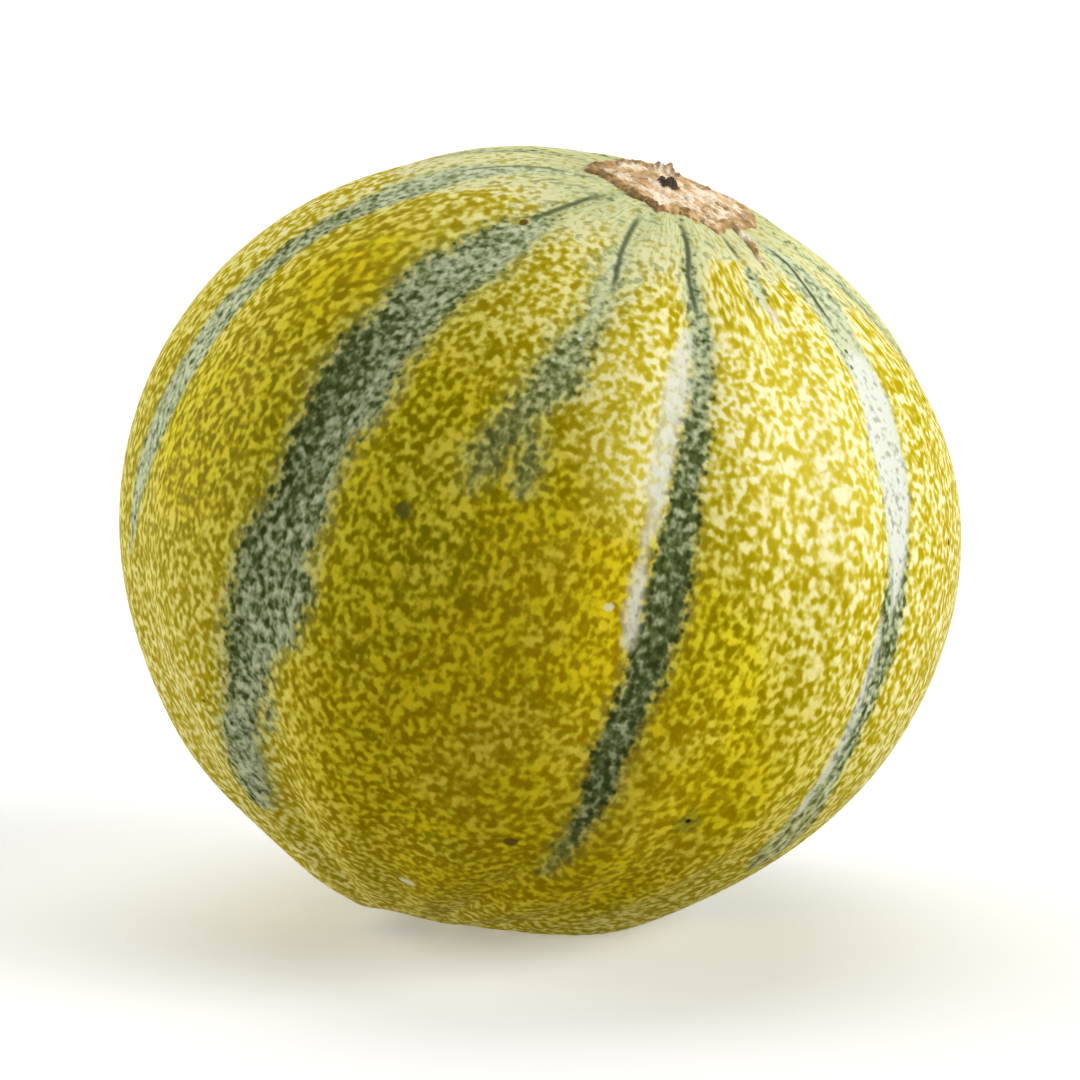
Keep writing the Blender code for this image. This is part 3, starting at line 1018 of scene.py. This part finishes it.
# Small blemishes, and two painted glints: place, radius in millimetres, colour and how strongly it covers
RindSpot = namedtuple("RindSpot", "angle colatitude radius colour strength")
SPOTS_AND_GLINTS = (
    RindSpot(83.0, 67.6, 0.7, BLACK_SPOT, 1.0),
    RindSpot(-61.7, 126.0, 0.8, BLACK_SPOT, 0.9),
    RindSpot(-62.6, 144.8, 0.9, BLACK_SPOT, 0.9),
    RindSpot(40.7, 116.4, 3.6, DARK_OLIVE, 0.5),
    RindSpot(40.7, 116.4, 0.9, BLACK_SPOT, 1.0),
    RindSpot(12.3, 132.0, 1.6, BROWN_SPOT, 0.9),
    RindSpot(-9.0, 155.5, 1.4, PALE_TICK, 0.8),
    RindSpot(9.5, 87.4, 1.4, BRIGHT_YELLOW, 0.8),
    RindSpot(9.9, 84.5, 1.0, PALE_TICK, 0.6),
    # Painted glints: two white dots that stand for tiny highlights in the short stripe in front
    RindSpot(-11.5, 44.5, 0.5, WAX_AND_SHEEN_WHITE, 0.8),
    RindSpot(-14.5, 49.5, 0.4, WAX_AND_SHEEN_WHITE, 0.6),
    RindSpot(-48.1, 28.5, 0.9, BROWN_SPOT, 1.0),
    RindSpot(-27.1, 81.6, 2.4, DARK_OLIVE, 0.9),
    RindSpot(70.2, 36.0, 0.6, SPECK_GREEN, 0.9),
    RindSpot(68.5, 38.8, 0.6, SPECK_GREEN, 0.8),
)
SPOT_UNEVEN = 1.5         # of its radius
SPOT_CORE = 0.5           # of its radius, where its colour is full

# Noises of the rind, in cells for one metre
BROAD_PER_METRE = 60.0
DRIFT_PER_METRE = 170.0
TEAR_PER_METRE = 440.0
FINE_PER_METRE = 1700.0
MARKS_PER_METRE = 830.0
COARSE_MARKS_PER_METRE = 590.0
FLECKS_PER_METRE = 820.0     # in the stripes
MARKS_DETAIL = 0.7
MARKS_STRETCH = 1.20         # marks are drawn out along the stem's axis
MARKS_TORN = 0.3
FLECKS_OWN = 0.9             # share of the flecks' own noise, and of the marks, in the flecks
FLECKS_MARKS = 0.4

# How strongly the noises pull a border or a tone about
Pull = namedtuple("Pull", "drift tear flecks")
STRIPE_PULL = Pull(3.0, 2.5, 4.0)    # millimetres
GREEN_PULL = Pull(0.9, 0.8, 2.6)
PALE_PULL = Pull(3.0, 2.0, 0.0)
WARM_PULL = Pull(1.5, 1.2, 0.0)

# Millimetres inside a stripe's border between which a part of it sets in, and how far raggedness shifts them
Border = namedtuple("Border", "low high ragged_low ragged_high")
GREY_BORDER = Border(-0.3, 0.5, -0.9, 1.0)
SPECK_BORDER = Border(-0.6, 0.0, -1.2, 0.5)
HALO_BORDER = Border(-1.0, 0.5, -2.6, 0.0)
HALO_STRENGTH = 0.6
WAX_AND_SHEEN_PULLED = 0.5             # as far as a stripe's border is

# Levels of a noise, or millimetres inside a border, between which a colour sets in
PALE_EDGE = (-0.7, 0.7)
WAX_AND_SHEEN_EDGE = (-1.0, 1.0)
SAGE_SHADE_EDGE = (-0.08, 0.12)
MIDDLE_EDGE = (-0.22, 0.08)
GOLD_EDGE = (-0.09, 0.20)
SPECK_EDGE = (-0.17, 0.26)
SPECKED_AT_ALL = (0.0, 0.05)
WAX_AND_SHEEN_FLECK_EDGE = (-0.03, 0.16)
STRAY_SPECK_EDGE = (0.12, 0.18)
CREASE_EDGE = (0.2, 1.5)

# How strongly a region shows, how uneven it is, and what is added to it everywhere
DEEP_AND_SHADED_LESS_BRIGHT = 0.7
DEEP_AND_SHADED_UNEVEN = 0.6
WARM_LEVEL = 0.075
OLIVE_STRENGTH = 0.8
OLIVE_UNEVEN = 1.5
OLIVE_LEVEL = -0.12
BRIGHT_UNEVEN = 0.8
BRIGHT_LEVEL = -0.04
SHADE_LEAST = 0.3
SHADE_STREAKS = 0.5

# How much of a region's colour each tone of the marks takes on
HALO_IN_MIDDLE = 0.8
PALE_IN_MIDDLE = 0.6
PALE_IN_GOLD = 0.65
BRIGHT_IN_GOLD = 0.7

# How much sparser the marks are in a region, and how unevenly they are spread everywhere
SPARSER_PALE = 0.14
SPARSER_BRIGHT = 0.05
SPARSER_NEAR_STEM = 0.06
SPREAD_UNEVEN = 0.10

SPECK_LINE = 0.18            # level of the flecks over which specks show where a stripe has none
SPECK_LINE_DROP = 0.26       # how far it drops where a stripe is full of them
SPECK_LINE_TORN = 0.1
WAX_AND_SHEEN_FULL = 0.97
WAX_AND_SHEEN_THINNER = 0.5            # how much the flecks thin the wax and its painted sheen
STRAY_STRENGTH = 0.5
CREASE_TORN = 1.2

RELIEF_DEPTH = 0.0004
RIND_RELIEF = 0.3
FINE_RELIEF = 0.5
TEAR_RELIEF = 0.8
RIND_ROUGHNESS = 0.50
UNEVEN_ROUGHNESS = 0.2
WAX_AND_SHEEN_ROUGHER = 0.08
RIND_SHINE = 0.015

Grains = namedtuple("Grains", "broad drift tear fine marks streaks flecks")
Regions = namedtuple("Regions", "stripe speck_ground halo wax pale deep warm olive bright near_stem")


def blended(one, other, share):
    """From one noise to another with as much contrast all the way."""
    rest = 1.0 - share
    return (one * rest + other * share) / (rest * rest + share * share) ** 0.5


def pulled(grains, pull):
    """How far the noises pull something about."""
    return grains.drift * pull.drift + grains.tear * pull.tear + grains.flecks * pull.flecks


def within(finish, inside, ragged, border):
    """0 outside a border, 1 inside it, and eased over more of the way where it is ragged."""
    low = border.low + ragged * border.ragged_low
    high = border.high + ragged * border.ragged_high
    return finish.eased(inside, low, high)


def rind_grains(finish, place):
    """The noises of the rind. The marks of the ribs are coarser in places and drawn out round the stem."""
    sockets = {"Vector": place, "Rotation": (0.0, LEAN, 0.0), "Scale": (1.0, 1.0, MARKS_STRETCH)}
    upright = finish.node("ShaderNodeMapping", {"vector_type": "TEXTURE"}, sockets)
    tear = finish.grain(place, TEAR_PER_METRE, 1.0)
    marks = finish.grain(upright, MARKS_PER_METRE, MARKS_DETAIL)
    coarse_marks = finish.grain(upright, COARSE_MARKS_PER_METRE, MARKS_DETAIL)
    streaks = finish.grain(finish.reading("streak_place", "Vector"), 1.0, MARKS_DETAIL)
    marks = blended(marks, coarse_marks, finish.reading("coarse"))
    marks = blended(marks, streaks, finish.reading("streaky")) - tear * MARKS_TORN
    return Grains(
        broad=finish.grain(place, BROAD_PER_METRE),
        drift=finish.grain(place, DRIFT_PER_METRE),
        tear=tear,
        fine=finish.grain(place, FINE_PER_METRE, 1.0),
        marks=marks,
        streaks=streaks,
        flecks=finish.grain(upright, FLECKS_PER_METRE, 1.0) * FLECKS_OWN + marks * FLECKS_MARKS,
    )


def rind_regions(finish, grains):
    """Where the stripes, the pale bloom with its painted sheen and the broad regions lie, with uneven
    borders; the region of deeper tones is partly painted shade.

    Dark specks reach further out of a stripe than the grey between them, and a green halo still further.
    """
    pull = pulled(grains, STRIPE_PULL)
    ragged = finish.reading("ragged")
    cover = finish.reading("cover")
    inside = finish.reading("stripe_inside") + pull * ragged
    wax_and_sheen_inside = finish.reading("wax_and_sheen_inside") + pull * WAX_AND_SHEEN_PULLED
    bright = finish.reading("bright")
    return Regions(
        stripe=within(finish, inside, ragged, GREY_BORDER) * cover,
        speck_ground=within(finish, inside, ragged, SPECK_BORDER) * cover,
        halo=within(finish, inside, ragged, HALO_BORDER) * cover * ragged * HALO_STRENGTH,
        wax=finish.eased(wax_and_sheen_inside, *WAX_AND_SHEEN_EDGE) * finish.reading("wax_and_sheen_strength"),
        pale=finish.eased(finish.reading("pale") + pulled(grains, PALE_PULL), *PALE_EDGE),
        # The region of deeper tones is partly painted shade, and it is weaker where the marks are bright
        deep=finish.reading("deep") - bright * DEEP_AND_SHADED_LESS_BRIGHT + grains.broad * DEEP_AND_SHADED_UNEVEN,
        warm=finish.reading("warm") + pulled(grains, WARM_PULL) + WARM_LEVEL,
        olive=finish.reading("olive") * OLIVE_STRENGTH + grains.drift * OLIVE_UNEVEN + OLIVE_LEVEL,
        bright=bright + grains.drift * BRIGHT_UNEVEN + BRIGHT_LEVEL,
        near_stem=finish.reading("near_stem"),
    )


def rib_colour(finish, grains, regions):
    """Gold marks on a cream or yellow ground, with a middle tone between."""
    pale, deep, halo = regions.pale, regions.deep, regions.halo
    # Deeper regions turn the ground yellower and the middle tone and marks darker: partly painted shade
    ground = finish.mixed(deep, CREAM, finish.mixed(regions.warm, YELLOW, WARM_YELLOW))
    ground = finish.mixed(halo, finish.mixed(pale, ground, SAGE), HALO_GROUND)
    streaked = finish.eased(grains.streaks, *SAGE_SHADE_EDGE)
    shaded = regions.near_stem * (SHADE_LEAST + streaked * SHADE_STREAKS)
    ground = finish.mixed(shaded, ground, SAGE_SHADE)

    middle = finish.mixed(deep, BRIGHT_GOLD, DEEP_AND_SHADED_BRIGHT)
    middle = finish.mixed(pale * PALE_IN_MIDDLE, middle, SAGE_MARK)
    middle = finish.mixed(halo * HALO_IN_MIDDLE, middle, HALO_MIDDLE)

    gold = finish.mixed(deep, GOLD, finish.mixed(regions.warm, DEEP_AND_SHADED_GOLD, WARM_GOLD))
    gold = finish.mixed(regions.olive, gold, OLIVE_GOLD)
    gold = finish.mixed(regions.bright * BRIGHT_IN_GOLD, gold, BRIGHT_GOLD)
    gold = finish.mixed(pale * PALE_IN_GOLD, gold, SAGE_MARK)
    gold = finish.mixed(halo, gold, HALO_MARK)

    sparser = pale * SPARSER_PALE + regions.bright * SPARSER_BRIGHT + regions.near_stem * SPARSER_NEAR_STEM
    marks = grains.marks - sparser - (grains.broad + grains.drift) * SPREAD_UNEVEN
    colour = finish.mixed(finish.eased(marks, *MIDDLE_EDGE), ground, middle)
    return finish.mixed(finish.eased(marks, *GOLD_EDGE), colour, gold)


def striped(finish, grains, regions, colour):
    """A rind's colour with the stripes laid over it: dark specks on grey-green."""
    specks = finish.reading("speck_share")
    green_depth = finish.reading("green_depth") + pulled(grains, GREEN_PULL)
    between = finish.mixed(green_depth, STRIPE_PALE, STRIPE_GREEN)
    line = SPECK_LINE - specks * SPECK_LINE_DROP + grains.tear * SPECK_LINE_TORN
    speckled = finish.eased(grains.flecks - line, *SPECK_EDGE) * finish.eased(specks, *SPECKED_AT_ALL)
    colour = finish.mixed(regions.stripe, colour, between)
    return finish.mixed(speckled * regions.speck_ground, colour, SPECK_GREEN)


def with_wax_and_sheen(finish, grains, regions, colour):
    """A rind's colour with the pale bloom and its painted sheen, the stray specks round the stem, the creases
    and the button.
    """
    thinner = finish.eased(grains.flecks, *WAX_AND_SHEEN_FLECK_EDGE) * WAX_AND_SHEEN_THINNER
    colour = finish.mixed(regions.wax * (WAX_AND_SHEEN_FULL - thinner), colour, WAX_AND_SHEEN_WHITE)
    stray = finish.eased(grains.tear, *STRAY_SPECK_EDGE) * regions.pale
    colour = finish.mixed(stray * STRAY_STRENGTH, colour, STRIPE_GREEN)
    crease_away = abs(finish.reading("crease_aside") + grains.tear * CREASE_TORN)
    crease = (1.0 - finish.eased(crease_away, *CREASE_EDGE)) * finish.reading("crease_strength")
    colour = finish.mixed(crease, colour, CREASE_GREEN)
    return finish.mixed(finish.reading("button"), colour, BUTTON_BROWN)


def spotted_and_glinted(finish, rind, place, tear, colour):
    """A rind's colour with its small blemishes and painted glints."""
    for rind_spot in SPOTS_AND_GLINTS:
        spot = {0: place, 1: rind.spot(rind_spot.angle, rind_spot.colatitude)}
        away = finish.node("ShaderNodeVectorMath", {"operation": "DISTANCE"}, spot, output="Value") / MM
        away = away + tear * (rind_spot.radius * SPOT_UNEVEN)
        covered = 1.0 - finish.eased(away, rind_spot.radius * SPOT_CORE, rind_spot.radius)
        colour = finish.mixed(covered * rind_spot.strength, colour, rind_spot.colour)
    return colour


def rind_finish(rind):
    """Waxy rind, mottled and striped."""
    finish = Finish("rind")
    place = finish.node("ShaderNodeTexCoord", output="Object")
    grains = rind_grains(finish, place)
    regions = rind_regions(finish, grains)
    colour = rib_colour(finish, grains, regions)
    colour = striped(finish, grains, regions, colour)
    colour = with_wax_and_sheen(finish, grains, regions, colour)
    colour = spotted_and_glinted(finish, rind, place, grains.tear, colour)
    dull = regions.stripe.most(regions.wax) * WAX_AND_SHEEN_ROUGHER
    relief = grains.fine * FINE_RELIEF + grains.tear * TEAR_RELIEF
    sockets = {
        "Base Color": colour,
        "Roughness": RIND_ROUGHNESS + dull + grains.tear * UNEVEN_ROUGHNESS,
        "Normal": finish.roughened(RIND_RELIEF, relief),
        "Specular IOR Level": RIND_SHINE,
    }
    finish.feed(finish.shader, sockets)
    return finish.material


# Colours of the stem scar, linear
CORK_LIGHT = (0.88, 0.75, 0.56)
CORK = (0.72, 0.46, 0.22)
CORK_YELLOW = (0.45, 0.26, 0.07)
CORK_BROWN = (0.20, 0.105, 0.025)
# Near-black of the dry stub, also painted shade of the hole at its foot
CORK_DARK = (0.020, 0.010, 0.003)

PATCHY_PER_METRE = 220.0
CORK_GRAIN_PER_METRE = 330.0
CORK_FINE_PER_METRE = 1900.0
CORK_LIGHT_EDGE = (-0.12, 0.06)
CORK_YELLOW_EDGE = (0.01, 0.12)
LIP_BROWN_EDGE = (-0.06, 0.14)
RIM_BROWN_AND_SHADE_EDGE = (0.65, 1.25)
CRACK_BROWN_EDGE = (-0.05, 0.10)
STALK_AND_PIT_SHADE_EDGE = (0.16, 0.36)
STALK_BROWN_AND_HIGHLIGHT_EDGE = (0.0, 0.15)
DARKER_AT_RIM = 0.1          # of the light cork, and as much more yellow
RIM_UNEVEN = 2.6
STALK_AND_PIT_SHADE_UNEVEN = 0.6
YELLOW_STRENGTH = 0.75
LIP_STRENGTH = 0.8
RIM_BROWN_AND_SHADE_STRENGTH = 0.45
CRACK_STRENGTH = 0.8
STALK_BROWN_AND_HIGHLIGHT_STRENGTH = 0.4
STALK_AND_PIT_SHADE_STRENGTH = 0.96
CORK_ROUGHNESS = 0.78
CORK_RELIEF = 0.4


def scar_finish():
    """Dry pale cork, browner at its rim and in its cracks, round the nearly black stub. The browner rim is
    partly painted shade of the lip's edge, and the near-black reaches past the stub as painted shade of the
    hole at its foot.
    """
    finish = Finish("cork")
    place = finish.node("ShaderNodeTexCoord", output="Object")
    patchy = finish.grain(place, PATCHY_PER_METRE, 3.0, 0.6)
    grain = finish.grain(place, CORK_GRAIN_PER_METRE, 2.0, 0.5, 0.6)
    fine = finish.grain(place, CORK_FINE_PER_METRE, 3.0, 0.6)
    rim = finish.reading("rim")
    light = finish.eased(grain - rim * DARKER_AT_RIM, *CORK_LIGHT_EDGE)
    colour = finish.mixed(light, CORK, CORK_LIGHT)
    yellow = finish.eased(patchy + rim * DARKER_AT_RIM, *CORK_YELLOW_EDGE)
    colour = finish.mixed(yellow * YELLOW_STRENGTH, colour, CORK_YELLOW)
    lip_brown = finish.reading("lip") * finish.eased(grain + patchy, *LIP_BROWN_EDGE)
    colour = finish.mixed(lip_brown * LIP_STRENGTH, colour, CORK_BROWN)
    # Browner towards the plate's edge: the cork's own brown rim and painted shade of the lip's edge
    rim_brown_and_shade = finish.eased(rim + (grain + patchy) * RIM_UNEVEN, *RIM_BROWN_AND_SHADE_EDGE)
    colour = finish.mixed(rim_brown_and_shade * RIM_BROWN_AND_SHADE_STRENGTH, colour, CORK_BROWN)
    crack_brown = finish.reading("crack") * finish.eased(patchy, *CRACK_BROWN_EDGE)
    colour = finish.mixed(crack_brown * CRACK_STRENGTH, colour, CORK_BROWN)
    # The stub is near-black with brown flecks that are partly painted highlights; round its foot the
    # near-black is painted shade of the hole
    stub_brown_and_highlight = finish.eased(fine, *STALK_BROWN_AND_HIGHLIGHT_EDGE)
    stub = finish.mixed(stub_brown_and_highlight * STALK_BROWN_AND_HIGHLIGHT_STRENGTH, CORK_DARK, CORK_BROWN)
    stalk = finish.eased(finish.reading("stalk") + grain * STALK_AND_PIT_SHADE_UNEVEN, *STALK_AND_PIT_SHADE_EDGE)
    sockets = {
        "Base Color": finish.mixed(stalk * STALK_AND_PIT_SHADE_STRENGTH, colour, stub),
        "Roughness": CORK_ROUGHNESS + fine * UNEVEN_ROUGHNESS,
        "Normal": finish.roughened(CORK_RELIEF, grain + fine * FINE_RELIEF),
    }
    finish.feed(finish.shader, sockets)
    return finish.material


# Camera and light
MELON_MIDDLE = Vector((0.0, 0.0, 0.0674))
CAMERA_DISTANCE = 0.85
CAMERA_ELEVATION = math.radians(10)
VIEW_WIDTH = 0.1932          # metres of the melon's plane that the frame spans
SENSOR_WIDTH = 36.0
NEAR_CLIP = 0.01

# Direction to the light in degrees, from the front towards +X and up, with its strength and spread
Light = namedtuple("Light", "name azimuth elevation strength spread colour")
LIGHTS = (
    Light("right_panel", 78, 20, 3.34, 40, (1.0, 1.0, 1.0)),
    Light("left_panel", -105, 10, 2.85, 60, (1.0, 1.0, 1.0)),
    Light("back_panel", 180, 60, 1.64, 60, (1.0, 1.0, 1.0)),
    Light("front_fill", 0, -10, 0.70, 60, (1.0, 1.0, 1.0)),
    Light("low_bounce", 0, -60, 0.55, 60, (1.0, 0.97, 0.82)),
)
ROOM_LIGHT = 0.02
FLOOR_SIDE = 14.0
FLOOR_COLOUR = (0.88, 0.88, 0.87)
FLOOR_ROUGHNESS = 0.8
FLOOR_GLOW = 0.25
WHITE = (1.0, 1.0, 1.0, 1.0)


def build_camera():
    camera = bpy.data.cameras.new("camera")
    camera.sensor_width = SENSOR_WIDTH
    camera.lens = SENSOR_WIDTH * CAMERA_DISTANCE / VIEW_WIDTH
    camera.clip_start = NEAR_CLIP
    eye = bpy.data.objects.new("camera", camera)
    back = Vector((0.0, -math.cos(CAMERA_ELEVATION), math.sin(CAMERA_ELEVATION)))
    eye.location = MELON_MIDDLE + back * CAMERA_DISTANCE
    eye.rotation_euler = (math.pi / 2.0 - CAMERA_ELEVATION, 0.0, 0.0)
    bpy.context.scene.collection.objects.link(eye)
    bpy.context.scene.camera = eye


def build_light(light):
    lamp = bpy.data.lights.new(light.name, "SUN")
    lamp.energy = light.strength
    lamp.angle = math.radians(light.spread)
    lamp.color = light.colour
    holder = bpy.data.objects.new(light.name, lamp)
    azimuth, elevation = math.radians(light.azimuth), math.radians(light.elevation)
    ahead = math.cos(elevation)
    towards = Vector((math.sin(azimuth) * ahead, -math.cos(azimuth) * ahead, math.sin(elevation)))
    holder.rotation_mode = "QUATERNION"
    holder.rotation_quaternion = towards.to_track_quat("Z", "Y")
    bpy.context.scene.collection.objects.link(holder)


def build_room():
    """Faint even light from all round."""
    world = bpy.data.worlds.new("room")
    world.use_nodes = True
    background = world.node_tree.nodes["Background"]
    background.inputs["Strength"].default_value = ROOM_LIGHT
    background.inputs["Color"].default_value = WHITE
    bpy.context.scene.world = world


def build_floor():
    """White floor that glows a little and throws no light on the melon."""
    half = FLOOR_SIDE / 2.0
    corners = np.array(((-half, -half, 0.0), (half, -half, 0.0), (half, half, 0.0), (-half, half, 0.0)))
    floor = mesh_object("floor", corners, [(0, 1, 2, 3)], {})
    floor.visible_diffuse = False
    floor.visible_shadow = False
    finish = Finish("floor")
    sockets = {
        "Base Color": (*FLOOR_COLOUR, 1.0),
        "Roughness": FLOOR_ROUGHNESS,
        "Specular IOR Level": 0.0,
        "Emission Color": WHITE,
        "Emission Strength": FLOOR_GLOW,
    }
    finish.feed(finish.shader, sockets)
    floor.data.materials.append(finish.material)


def main():
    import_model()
    build_camera()
    for light in LIGHTS:
        build_light(light)
    build_room()
    build_floor()

    rind = Rind()
    skin = build_rind(rind)
    skin.data.materials.append(rind_finish(rind))
    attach(skin, "root")
    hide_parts("melon")

    cork = scar_finish()
    for piece in (build_scar(), build_strip()):
        piece.data.materials.append(cork)
        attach(piece, "root")

    bpy.context.scene.view_settings.view_transform = "Standard"
    bpy.context.view_layer.update()


main()
